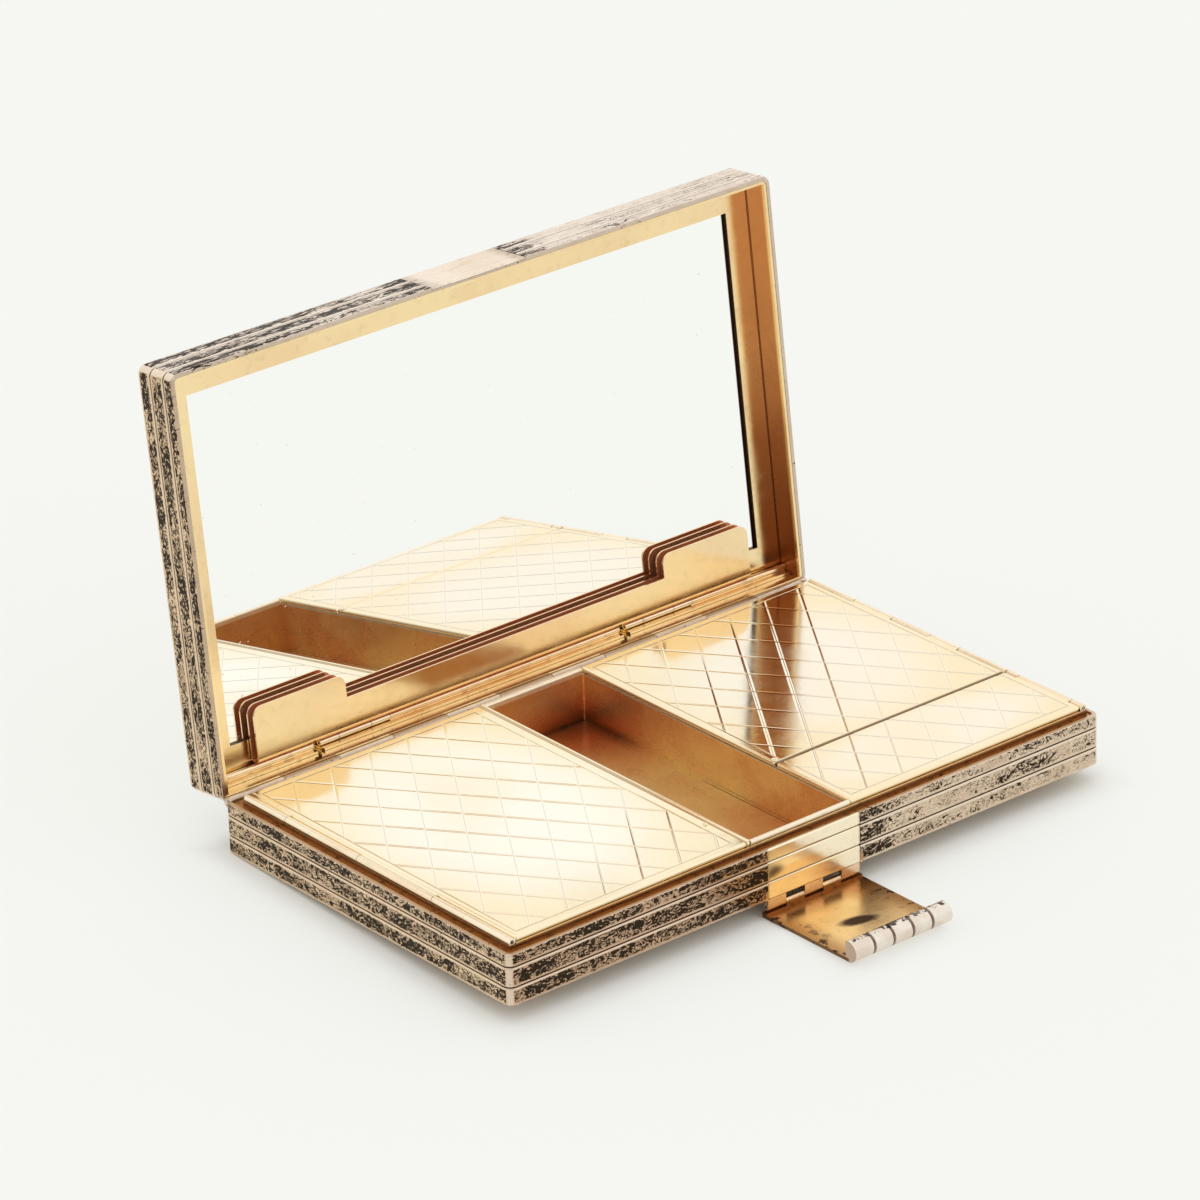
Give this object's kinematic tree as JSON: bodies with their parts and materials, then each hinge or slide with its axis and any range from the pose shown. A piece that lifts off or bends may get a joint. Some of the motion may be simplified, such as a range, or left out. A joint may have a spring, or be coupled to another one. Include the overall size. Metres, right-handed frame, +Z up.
{
  "type": "vanity case",
  "caption": "Flat hinged vanity case, shown open: banded silver halves, gilt inside with lidded compartments, open well, framed mirror, tilting comb holder and front latch.",
  "frame": {"origin": "centre of the lower half's flat underside", "axes": "+X along the hinge, +Y from the latch to the hinge, +Z up"},
  "size_m": [0.14, 0.1243, 0.0944],
  "materials": {
    "silver_case": "silver with dark tarnish in the bands",
    "gilt_metal": "polished gilding, engraved lattice on the lids",
    "well_metal": "worn gilding, copper brown",
    "mirror": "silvered flat glass",
    "backing_board": "plain thin board",
    "hinge_pin": "drawn wire"
  },
  "bodies": {
    "base": {"base_case": "silver_case", "base_catch_plate": "gilt_metal", "inner_frame": "gilt_metal", "left_compartment": "gilt_metal", "centre_well": "well_metal", "rear_compartment": "gilt_metal", "front_compartment": "gilt_metal", "base_hinge_knuckles": "silver_case", "main_hinge_pin": "hinge_pin", "left_frame_knuckles": "gilt_metal", "left_lid_pin": "hinge_pin", "right_frame_knuckles": "gilt_metal", "right_lid_pin": "hinge_pin", "latch_base_knuckles": "gilt_metal", "latch_pin": "hinge_pin"},
    "upper_half": {"lid_case": "silver_case", "lid_catch_plate": "gilt_metal", "mirror_frame": "gilt_metal", "mirror_glass": "mirror", "mirror_backing": "backing_board", "lid_hinge_knuckles": "silver_case", "comb_bearer": "gilt_metal", "comb_fixed_knuckles": "gilt_metal", "comb_pins": "hinge_pin"},
    "comb_holder": {"comb_holder": "gilt_metal", "comb_moving_knuckles": "gilt_metal"},
    "left_lid": {"left_lid": "gilt_metal", "left_lid_knuckles": "gilt_metal", "left_lid_pip": "gilt_metal"},
    "rear_lid": {"rear_lid": "gilt_metal", "rear_lid_knuckles": "gilt_metal", "rear_lid_catch": "gilt_metal"},
    "front_lid": {"front_lid": "gilt_metal", "front_lid_knuckles": "gilt_metal"},
    "latch": {"latch_flap": "gilt_metal", "latch_flap_knuckles": "gilt_metal", "latch_roll": "silver_case"}
  },
  "joints": [
    {"name": "case_hinge", "type": "hinge", "parent": "base", "child": "upper_half", "pos_m": [0, 0.04065, 0.00965], "axis": [1, 0, 0], "range_deg": [0, 96]},
    {"name": "left_lid_hinge", "type": "hinge", "parent": "base", "child": "left_lid", "pos_m": [-0.06745, 0, 0.01125], "axis": [0, 1, 0], "range_deg": [-100, 0]},
    {"name": "rear_lid_hinge", "type": "hinge", "parent": "base", "child": "rear_lid", "pos_m": [0.06745, 0, 0.01125], "axis": [0, -1, 0], "range_deg": [-100, 0]},
    {"name": "front_lid_hinge", "type": "hinge", "parent": "base", "child": "front_lid", "pos_m": [0.06745, 0, 0.01125], "axis": [0, -1, 0], "range_deg": [-100, 0]},
    {"name": "comb_holder_hinge", "type": "hinge", "parent": "upper_half", "child": "comb_holder", "pos_m": [0, 0.04582, 0.01144], "axis": [-1, 0, 0], "range_deg": [-50, 0]},
    {"name": "latch_hinge", "type": "hinge", "parent": "base", "child": "latch", "pos_m": [0, -0.0401, -0.0018], "axis": [-1, 0, 0], "range_deg": [-90, 90]}
  ]
}
